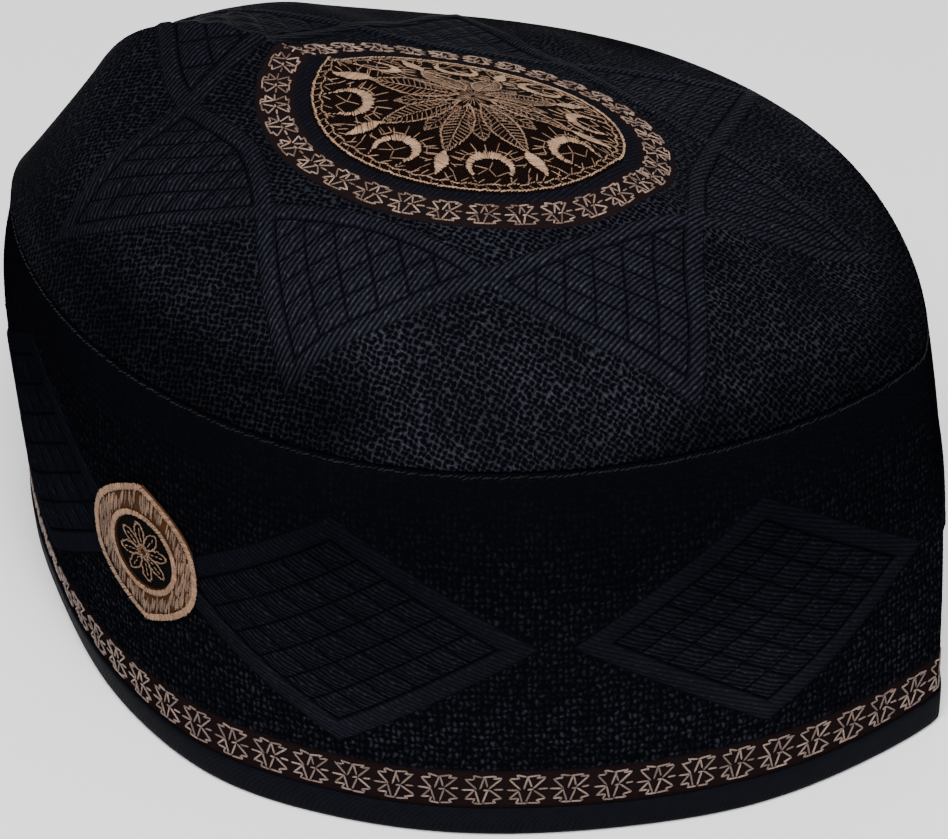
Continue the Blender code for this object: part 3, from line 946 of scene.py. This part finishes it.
def motif_copies(count, half_sizes, seed):
    """Starts and ends of the motif's stitches for a number of copies, scaled and nudged."""
    nudge = np.random.default_rng(seed).normal(0, NEEDLE_MISS, (2, count, len(MOTIF_STARTS), 2))
    return (MOTIF_STARTS + nudge[0]) * half_sizes, (MOTIF_ENDS + nudge[1]) * half_sizes


print("stitches in the motif:", len(MOTIF_STARTS))

# %% The row of stars above the ribbon
HEM_STARS = 65
HEM_STAR_FIRST = 156.4
HEM_STAR_UP = 12.6
HEM_STAR_HALF = np.array([4.2, 4.15])
starts, ends = motif_copies(HEM_STARS, HEM_STAR_HALF, seed=3)
centre_along = HEM_STAR_FIRST + np.arange(HEM_STARS) * GIRTH / HEM_STARS
centres = np.stack([centre_along, np.full(HEM_STARS, HEM_STAR_UP)], -1)[:, None]
curves = stitches((starts + centres).reshape(-1, 2), (ends + centres).reshape(-1, 2))
row_group = (curves, 0.46, 0.14, (0.22, 1.08))
hem_stars = lay_threads("hem_stars", wall, [row_group], hem_thread)

# %% The ring of stars round the medallion
RING_STARS = 33
RING_RADIUS = 40.3
RING_STAR_FIRST = np.radians(-84.9)
RING_STAR_HALF = np.array([3.6, 3.1])
starts, ends = motif_copies(RING_STARS, RING_STAR_HALF, seed=5)
turn = (RING_STAR_FIRST + np.arange(RING_STARS) * 2 * np.pi / RING_STARS)[:, None, None]


def on_ring(places):
    """Bends a motif's flat places round the ring: its height runs inwards along the radius."""
    radius = RING_RADIUS - places[..., 1:]
    angle = turn + places[..., :1] / RING_RADIUS
    return (radius * unit(angle[..., 0])).reshape(-1, 2)


ring_group = (stitches(on_ring(starts), on_ring(ends)), 0.42, 0.16, (0.0, 1.05))
ring_stars = lay_threads("ring_stars", crown, [ring_group], star_thread)

# %% [markdown]
# ## The medallion
# The round medallion is lace: threads over a dark mesh ground. Eight leaves with ladder veins grow from the
# middle. Between them stand eight rings, thick on the inner side, and beyond each leaf hangs a solid drop.
# Fine hooked threads fill the dark ground, and a double cord with rungs closes the edge. A picture of lace on
# the disc would lie flat and dead, because real lace lives by the light on each thread. So it is laid thread
# by thread. One eighth is drawn, and the rest are turned copies.

# %% The dark ground of the medallion
MEDALLION_RADIUS = 33.3
MEDALLION_CENTRE = np.array([0.3, -0.5])
GROUND_ROUND = 128
GROUND_LIFT, GROUND_UNDER = 0.45, 0.05
share = np.linspace(0, 1, 24)[1:, None]
turn = np.linspace(-np.pi, np.pi, GROUND_ROUND + 1)[None, :]
radii = np.concatenate([share * MEDALLION_RADIUS, share[::-1] * MEDALLION_RADIUS])
places = MEDALLION_CENTRE + radii[..., None] * unit(turn)
lift = [GROUND_LIFT - 0.30 * smooth(share, 0.93, 1.0), np.full_like(share, GROUND_UNDER)]
lift = np.concatenate(lift) + 0 * turn
rows = lifted(crown, places[..., 0], places[..., 1], lift)[:, :-1]
top, under = crown(*MEDALLION_CENTRE) + [[0, 0, GROUND_LIFT], [0, 0, GROUND_UNDER]]
ground_piece = add_dome("medallion_ground", rows, top, under, {"flat": places}, lace_ground.material)
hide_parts("crown_medallion")

# %% [markdown]
# A cord of lace isn't a smooth tube. The machine makes it of short slanted stitches that lie side by side,
# and a twisted tube would look like piping, so the cords are drawn here as they are made. The same small
# helper then serves the leaves' edges and veins, the border, the rim of the patch and the seam.

# %% Cords, turned copies and frayed ends
EIGHTH = np.pi / 4
LEAF_TURN = np.radians(-80.7)
RING_TURN = LEAF_TURN + EIGHTH / 2
LACE_LIFT = 0.60


def turned(curves, first):
    """Eight copies of curves drawn along +x, turned round the middle."""
    angle = first + np.arange(8) * EIGHTH
    cos, sin = np.cos(angle), np.sin(angle)
    spin = np.stack([np.stack([cos, sin], -1), np.stack([-sin, cos], -1)], -2)
    return np.einsum("nmi,kij->knmj", curves, spin).reshape(-1, curves.shape[1], 2)


def rope(curve, step, half, slant):
    """A cord as short stitches, one each step of a flat curve: half reaches across it, slant along it."""
    points = even(curve, max(int(passed_along(curve)[-1] / step), 3))
    run = np.gradient(points, axis=0)
    run = run / np.linalg.norm(run, axis=1, keepdims=True)
    across = np.stack([-run[:, 1], run[:, 0]], -1)
    return stitches(points - across * half - run * slant, points + across * half + run * slant)


def frayed(curves, seed, amount):
    """Moves the ends of every stitch a little, with seeded noise, as a machine's needle does."""
    shake = np.random.default_rng(seed).normal(0, amount, (2, len(curves), 2))
    way = np.linspace(0, 1, curves.shape[1])[None, :, None]
    return curves + shake[0][:, None] * (1 - way) + shake[1][:, None] * way


print("turned copies of one curve:", len(turned(np.zeros((1, 2, 2)), 0.0)))

# %% The leaves of the lace
RUNG_LEAN = 1.2
RUNG_GAP = 0.25


def leaf_half(way, widest):
    """Half the width of a leaf along its length, way 0 at its foot to 1 at its tip."""
    return widest * np.sin(np.pi * way**0.95) ** 0.85


def leaf(from_middle, to_middle, widest, rung_count):
    """The cords and the ladder rungs of one leaf along +x."""
    way = np.linspace(0, 1, 24)
    spine = from_middle + (to_middle - from_middle) * way
    half = leaf_half(way, widest)
    sides = [rope(np.stack([spine, side * half], -1), 0.62, 0.16, 0.36) for side in (-1, 1)]
    rung_way = np.linspace(0.12, 0.86, rung_count)
    foot = from_middle + (to_middle - from_middle) * rung_way
    reach = leaf_half(rung_way + 0.05, widest) - RUNG_GAP
    inner = [np.stack([foot, RUNG_GAP * side + 0 * foot], -1) for side in (-1, 1)]
    outer = [np.stack([foot + RUNG_LEAN, side * reach], -1) for side in (-1, 1)]
    rungs = np.concatenate([stitches(start, end) for start, end in zip(inner, outer)])
    vein = rope(np.stack([spine[1:-1], 0 * spine[1:-1]], -1), 0.7, 0.10, 0.36)
    return np.concatenate(sides), rungs, vein


long_sides, long_rungs, long_vein = leaf(3.2, 21.3, 3.0, 13)
short_sides, short_rungs, short_vein = leaf(4.5, 15.8, 2.3, 7)
print("stitches in a long leaf:", len(long_sides) + len(long_rungs) + len(long_vein))

# %% [markdown]
# Each ring is a crescent of close stitches that run across it, from its inner rim to its outer one. It could
# be drawn as one thick cord, but its stitches have uneven ends, like fur, and it is thickest where it faces
# the middle of the medallion. So every stitch gets its own two ends. Two thin legs lead from the crescent to
# the border, a few threads cross its opening, and rays stand off round it.

# %% The rings of the lace
CRESCENT_AT, CRESCENT_RADIUS = 25.1, 4.7
CRESCENT_LEG = 123.0
CRESCENT_THIN, CRESCENT_SWELL = 0.45, 1.45
RAY_FOOT = 5.3
angle = np.radians(np.linspace(180 - CRESCENT_LEG, 180 + CRESCENT_LEG, 66))
towards = 0.5 - 0.5 * np.cos(angle)
thick = CRESCENT_THIN + CRESCENT_SWELL * towards**1.7
rim = unit(angle)
fur = np.random.default_rng(21).normal(0, 0.22, (2, len(angle), 1)) * towards[:, None]
inner_rim = [CRESCENT_AT, 0] + rim * (CRESCENT_RADIUS - thick[:, None] - np.abs(fur[0]))
outer_rim = [CRESCENT_AT, 0] + rim * (CRESCENT_RADIUS + 0.1 + np.abs(fur[1]) * 1.4)
crescent = stitches(inner_rim, outer_rim)
leg_foot = CRESCENT_AT + CRESCENT_RADIUS * np.cos(angle[0])
leg_side = CRESCENT_RADIUS * np.sin(angle[0])
leg = np.array([[leg_foot, leg_side], [29.6, leg_side - 0.4]])
legs = np.concatenate([rope(leg * [1, side], 0.55, 0.12, 0.34) for side in (-1, 1)])
net_inside = stitches(
    np.array([[23.2, 0.9], [25.6, -0.4], [25.6, -0.4], [25.6, -0.4], [28.0, 0.8]]),
    np.array([[25.6, -0.4], [24.3, -3.3], [27.4, -3.0], [28.0, 0.8], [26.4, 3.6]]),
)
ray_angle = np.radians(np.linspace(98, 262, 9))
ray = unit(ray_angle)
ray_length = np.array([7.6, 8.6, 7.9, 8.9, 7.8, 8.8, 8.0, 8.7, 7.5])[:, None]
rays = stitches([CRESCENT_AT, 0] + ray * RAY_FOOT, [CRESCENT_AT, 0] + ray * ray_length)
print("stitches in a ring:", len(crescent) + len(legs) + len(net_inside) + len(rays))

# %% The drops, the net and the border of the lace
DROP_FROM, DROP_TO = 21.6, 29.3
DROP_HALF, DROP_SLANT = 1.5, 0.6
drop_way = np.linspace(0.03, 0.97, 26)
drop_at = DROP_FROM + (DROP_TO - DROP_FROM) * drop_way
drop_half = DROP_HALF * np.sin(np.pi * drop_way**0.75)
drop_start = np.stack([drop_at - DROP_SLANT, -drop_half], -1)
drop = stitches(drop_start, np.stack([drop_at + DROP_SLANT, drop_half], -1))
NET = np.array([
    [[20.6, 1.6], [20.9, 3.9]], [[22.6, 1.6], [23.1, 3.6]], [[24.4, 1.9], [25.5, 3.3]],
    [[26.0, 1.9], [27.4, 3.2]], [[27.9, 1.6], [29.9, 2.8]], [[23.1, 3.6], [20.9, 3.9]],
    [[27.4, 3.2], [29.9, 4.6]], [[20.9, 3.9], [19.1, 5.6]],
])
net = np.concatenate([stitches(NET[:, 0] * [1, side], NET[:, 1] * [1, side]) for side in (-1, 1)])

ring_at = np.linspace(-np.pi, np.pi, 481)
outer_cord = rope(unit(ring_at) * 32.4, 0.72, 0.20, 0.46)
inner_cord = rope(unit(ring_at) * (30.7 + 0.25 * np.sin(ring_at * 44))[:, None], 0.72, 0.16, 0.40)
rung_at = np.linspace(0, 2 * np.pi, 89)[:-1]
border_rungs = stitches(unit(rung_at) * 31.0, unit(rung_at + 0.022) * 32.1)
fringe_at = np.linspace(0, 2 * np.pi, 57)[:-1]
border_fringe = stitches(unit(fringe_at) * 30.4, unit(fringe_at + 0.05) * 28.8)

heart_at = np.linspace(0, 2 * np.pi, 25)[:-1]
heart_reach = 4.6 + 1.3 * np.cos(heart_at * 8 - 8 * LEAF_TURN)
heart_threads = stitches(unit(heart_at) * 0.4, unit(heart_at) * heart_reach[:, None])
print("stitches in the border:", sum(map(len, (outer_cord, inner_cord, border_rungs, border_fringe))))

# %% [markdown]
# Now the groups are laid together. Each has a width and a lift in millimetres, so that cords lie over leaves
# and leaves over the net, and a range of painted shine. The back threads are painted deep in tone, as shade,
# and the raised ones bright, as painted highlights, which gives the lace its depth even where the lamp
# doesn't.

# %% Lay the lace
DEEP, MEDIUM, BRIGHT = (0.0, 0.35), (0.2, 0.7), (0.45, 1.15)
lace = [
    (turned(short_sides, RING_TURN), 0.32, LACE_LIFT - 0.12, DEEP),
    (turned(short_rungs, RING_TURN), 0.26, LACE_LIFT - 0.15, DEEP),
    (turned(short_vein, RING_TURN), 0.28, LACE_LIFT - 0.10, DEEP),
    (turned(long_sides, LEAF_TURN), 0.34, LACE_LIFT + 0.08, MEDIUM),
    (turned(long_rungs, LEAF_TURN), 0.28, LACE_LIFT, DEEP),
    (turned(long_vein, LEAF_TURN), 0.30, LACE_LIFT + 0.05, MEDIUM),
    (turned(crescent, RING_TURN), 0.34, LACE_LIFT + 0.12, BRIGHT),
    (turned(legs, RING_TURN), 0.34, LACE_LIFT + 0.05, MEDIUM),
    (turned(net_inside, RING_TURN), 0.26, LACE_LIFT - 0.1, MEDIUM),
    (turned(rays, RING_TURN), 0.26, LACE_LIFT - 0.1, MEDIUM),
    (turned(drop, LEAF_TURN), 0.40, LACE_LIFT + 0.15, BRIGHT),
    (turned(net, LEAF_TURN), 0.26, LACE_LIFT - 0.1, MEDIUM),
    (heart_threads, 0.24, LACE_LIFT + 0.10, DEEP),
    (outer_cord, 0.38, LACE_LIFT - 0.10, BRIGHT),
    (inner_cord, 0.34, LACE_LIFT - 0.05, MEDIUM),
    (border_rungs, 0.28, LACE_LIFT - 0.15, DEEP),
    (border_fringe, 0.26, LACE_LIFT - 0.1, MEDIUM),
]
LACE_FRAY, LACE_SPREAD = 0.10, 1.01
lace = [
    (frayed(curves, seed, LACE_FRAY) * LACE_SPREAD + MEDALLION_CENTRE, *rest)
    for seed, (curves, *rest) in enumerate(lace)
]
lace_piece = lay_threads("medallion_lace", crown, lace, lace_thread)

# %% [markdown]
# ## The patch on the band
# The patch is satin stitch over a padded ground. A corded rim follows its pointed oval, long stitches fill
# the field, and a second cord rings a dark round opening with a plain rosette of eight petals, a traditional
# ornament. The ground is made first, a low cushion on the wall. It stands clear of the quilting that runs on
# beneath it, as a real patch does, and its own tone shows between the stitches.

# %% Make the patch
PATCH_ALONG, PATCH_UP = 109.0, 50.4
PATCH_HALF_WIDTH, PATCH_HALF_HEIGHT = 15.0, 17.0
PATCH_ROUNDNESS = 2.6


def patch_edge(angle, inset):
    """The patch's outline as flat places: half width W (1 - |t|^p) at height t H, drawn smaller by inset."""
    level = np.sin(angle)
    width = (PATCH_HALF_WIDTH - inset) * (1 - np.abs(level) ** PATCH_ROUNDNESS) * np.sign(np.cos(angle))
    return np.stack([PATCH_ALONG + width, PATCH_UP + (PATCH_HALF_HEIGHT - 1.25 * inset) * level], -1)


def patch_circle(radius, angle):
    """A circle round the patch's middle."""
    return [PATCH_ALONG, PATCH_UP] + radius * unit(angle)


OPENING = 8.1
EDGE_INSET = 0.7
PAD_LIFT, PAD_UNDER = 0.66, 0.03
PAD_ROWS = 15
patch_ground = Finish("patch_ground", Specular_IOR_Level=0.01)
place, along, up = patch_ground.chart("flat")
right_of, above_it = along - PATCH_ALONG, up - PATCH_UP
radius = work("SQRT", right_of * right_of + above_it * above_it)
felt = patch_ground.noise(place, 1.4, 3.0)
opened = smooth(radius, OPENING - 0.2, OPENING + 0.4)
dark = patch_ground.mixed((0.0010, 0.0008, 0.0010, 1), (0.0040, 0.0026, 0.0026, 1), felt)
copper = patch_ground.mixed((0.022, 0.009, 0.004, 1), (0.055, 0.023, 0.010, 1), felt)
padding = patch_ground.mixed(dark, copper, opened)
patch_ground.feed(Base_Color=padding, Roughness=0.8, Normal=patch_ground.bump(felt * 0.2))

turn = np.linspace(-np.pi, np.pi, 97)
share = np.linspace(0, 1, PAD_ROWS + 1)[1:, None, None]
middle = np.array([PATCH_ALONG, PATCH_UP])
places = middle + share * (patch_edge(turn, EDGE_INSET) - middle)
places = np.concatenate([places, places[::-1]])
lift = [PAD_LIFT - 0.25 * smooth(share[..., 0], 0.9, 1.0), np.full((PAD_ROWS, 1), PAD_UNDER)]
rows = lifted(wall, places[..., 0], places[..., 1], np.concatenate(lift) + 0 * turn)[:, :-1]
pole, under = lifted(wall, middle[:1], middle[1:], np.array([PAD_LIFT, PAD_UNDER]))
patch_piece = add_dome("patch_ground", rows, pole, under, {"flat": places}, patch_ground.material)
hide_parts("side_badge")

# %% [markdown]
# Long stitches fill the field in upright columns. Each starts at its own height, as a filling machine sets
# them, so that no line of ends shows. All columns are laid out over the whole patch at once, and the stitches
# that would leave the field or cross the opening are then taken out with a mask.

# %% Stitch the patch
PATCH_LIFT = 0.84
FILL_STEP, FILL_ROWS, FILL_PITCH = 0.40, 14, 2.6
FILL_LENGTH, FILL_LEAN, FILL_STAGGER = 3.1, 0.35, 1.1
FILL_FROM = 9.3
fill_places = np.random.default_rng(31)
column = np.arange(PATCH_ALONG - PATCH_HALF_WIDTH, PATCH_ALONG + PATCH_HALF_WIDTH, FILL_STEP)
foot = PATCH_UP - PATCH_HALF_HEIGHT + np.tile(np.arange(FILL_ROWS) * FILL_PITCH, len(column))
column = np.repeat(column, FILL_ROWS)
foot = foot + fill_places.uniform(-FILL_STAGGER, FILL_STAGGER, len(column))
way = np.linspace(0, 1, 5)[None, :, None]
fill = np.stack([column, foot], -1)[:, None] + way * [FILL_LEAN, FILL_LENGTH]
side = np.abs(fill[..., 0] - PATCH_ALONG)
reach = np.abs(fill[..., 1] - PATCH_UP) / (PATCH_HALF_HEIGHT - 1.2)
within = side < (PATCH_HALF_WIDTH - 1.0) * (1 - np.minimum(reach, 1) ** PATCH_ROUNDNESS)
beyond = np.hypot(side, fill[..., 1] - PATCH_UP) > FILL_FROM
fill = frayed(fill[(within & beyond).all(1)], 32, 0.14)
rim_at = np.linspace(0, 2 * np.pi, 1441)
rim = frayed(rope(patch_edge(rim_at, 0.75), 0.36, 0.70, 0.30), 33, 0.07)
collar = frayed(rope(patch_circle(8.95, rim_at), 0.36, 0.62, 0.30), 34, 0.06)
petal_way = np.linspace(0, 2 * np.pi, 25)
petal = rope(np.stack([4.0 + 2.6 * np.cos(petal_way), 1.3 * np.sin(petal_way)], -1), 0.6, 0.08, 0.40)
petal_vein = rope(np.array([[1.6, 0.0], [5.0, 0.0]]), 0.8, 0.05, 0.45)
eye = rope(patch_circle(1.0, petal_way), 0.6, 0.15, 0.3)
patch = [
    (fill[::2], 0.44, PATCH_LIFT - 0.12, (0.0, 0.6)),
    (fill[1::2], 0.44, PATCH_LIFT + 0.02, (0.05, 0.75)),
    (rim, 0.40, PATCH_LIFT + 0.20, BRIGHT),
    (collar, 0.38, PATCH_LIFT + 0.25, BRIGHT),
    (frayed(turned(petal, 0.2), 35, 0.12) + middle, 0.32, PATCH_LIFT, MEDIUM),
    (frayed(turned(petal_vein, 0.2), 36, 0.12) + middle, 0.28, PATCH_LIFT, MEDIUM),
    (eye, 0.34, PATCH_LIFT - 0.05, MEDIUM),
]
patch_stitches = lay_threads("patch_stitches", wall, patch, patch_thread)

# %% [markdown]
# ## The stitched seam
# Close slanted stitches just under the crown hold it to the band. A few of them catch the light, so the seam
# reads as an uneven fine line with a shadow above it. A bump line would do from afar, but these stitches are
# among the few things on the plain upper band that can be seen at all, so they are threads like the rest.

# %% Stitch the seam
SEAM_STEP = 1.15
SEAM_UP = WALL_HEIGHT - 1.2
seam_along = np.linspace(0, GIRTH, 2001)
seam_line = np.stack([seam_along, np.full_like(seam_along, SEAM_UP)], -1)
seam = frayed(rope(seam_line, SEAM_STEP, 0.22, 0.62), 51, 0.14)
seam_group = (seam, 0.38, -0.10, (0.0, 0.65))
seam_piece = lay_threads("seam_stitches", wall, [seam_group], seam_thread)

# %% [markdown]
# ## The cloth before it was sewn
# The band was cut as a straight strip, the crown as an almond whose area is added up here over its grid, the
# ribbon as a long narrow strip folded in two, and the medallion and the patch as small cuts laid on the rest.
# The embroidery is stitched onto these sheets. Draping the sheets by simulation would show nothing more here,
# because each is sewn taut to its neighbour.


def grid_area(points):
    """A grid's area in square metres: half the cross product of each quad's diagonals, added up."""
    first = points[1:, 1:] - points[:-1, :-1]
    second = points[1:, :-1] - points[:-1, 1:]
    return np.linalg.norm(np.cross(first, second), axis=-1).sum() / 2 * MM**2


crown_share = np.linspace(0, 1, 61)[:, None] * CROWN_EDGE
crown_area = grid_area(crown(crown_share * np.cos(TABLE_TURNS), crown_share * np.sin(TABLE_TURNS)))

# %% [markdown]
# ## Floor, light and camera
# The floor is plain and pale. One broad lamp high in front gives soft light on the puffed front of the crown,
# whose sheen there is painted into the cloth, and two weak ones open the shadows on the right and behind.
# Black cloth needs restraint here: more or nearer lamps would only wash its ground out. The camera stands
# where the picture was taken from, with a long lens, and is built from its own three axes, so that its small
# roll is exact.

# %% Floor and light
FLOOR_HALF, FLOOR_LEVEL = 3, -0.0003
floor_mesh = bpy.data.meshes.new("floor")
corners = [(x * FLOOR_HALF, y * FLOOR_HALF, FLOOR_LEVEL) for x, y in ((-1, -1), (1, -1), (1, 1), (-1, 1))]
floor_mesh.from_pydata(corners, [], [(0, 1, 2, 3)])
floor = bpy.data.objects.new("floor", floor_mesh)
bpy.context.collection.objects.link(floor)
floor_mesh.materials.append(Finish("floor_paint", Base_Color=(0.86, 0.86, 0.86, 1), Roughness=0.9).material)


LAMP_AIM = Vector((0, 0, 0.06))


def add_lamp(name, place, size, watts):
    """A square soft lamp that faces the middle of the cap."""
    lamp = bpy.data.lights.new(name, "AREA")
    lamp.shape, lamp.size, lamp.energy = "SQUARE", size, watts
    holder = bpy.data.objects.new(name, lamp)
    holder.location = place
    holder.rotation_euler = (LAMP_AIM - Vector(place)).to_track_quat("-Z", "Y").to_euler()
    bpy.context.collection.objects.link(holder)


add_lamp("key_lamp", (0.25, -0.85, 1.45), 0.9, 60.0)
add_lamp("fill_lamp", (1.1, -0.7, 0.8), 1.0, 4.0)
add_lamp("back_lamp", (-0.3, 1.2, 1.2), 1.0, 4.0)
ROOM_LIGHT = 0.36
world = bpy.data.worlds.new("room")
world.use_nodes = True
world.node_tree.nodes["Background"].inputs[0].default_value = (1, 1, 1, 1)
world.node_tree.nodes["Background"].inputs[1].default_value = ROOM_LIGHT
bpy.context.scene.world = world
print("lamps:", [light.name for light in bpy.data.lights])

# %% Camera
AZIMUTH, ELEVATION, ROLL = np.radians([22.5, 36.052, 2.366])
DISTANCE = 0.8971
TARGET = np.array([0.00106, -0.00624, 0.04833])
FOCAL_PIXELS = 4205.5
PICTURE_WIDTH = 948
SENSOR_WIDTH = 36.0
level_share = np.cos(ELEVATION)
back = np.array([np.sin(AZIMUTH) * level_share, -np.cos(AZIMUTH) * level_share, np.sin(ELEVATION)])
level = np.array([np.cos(AZIMUTH), np.sin(AZIMUTH), 0])
upward = np.cross(back, level)
right = np.cos(ROLL) * level + np.sin(ROLL) * upward
above = np.cos(ROLL) * upward - np.sin(ROLL) * level
camera = bpy.data.objects.new("camera", bpy.data.cameras.new("camera"))
axes = Matrix(np.stack([right, above, back], -1).tolist()).to_4x4()
camera.matrix_world = Matrix.Translation((TARGET + DISTANCE * back).tolist()) @ axes
camera.data.sensor_width = SENSOR_WIDTH
camera.data.lens = FOCAL_PIXELS / PICTURE_WIDTH * SENSOR_WIDTH
camera.data.clip_start = 0.05
bpy.context.collection.objects.link(camera)
bpy.context.scene.camera = camera
print("camera lens in mm:", round(camera.data.lens, 1))
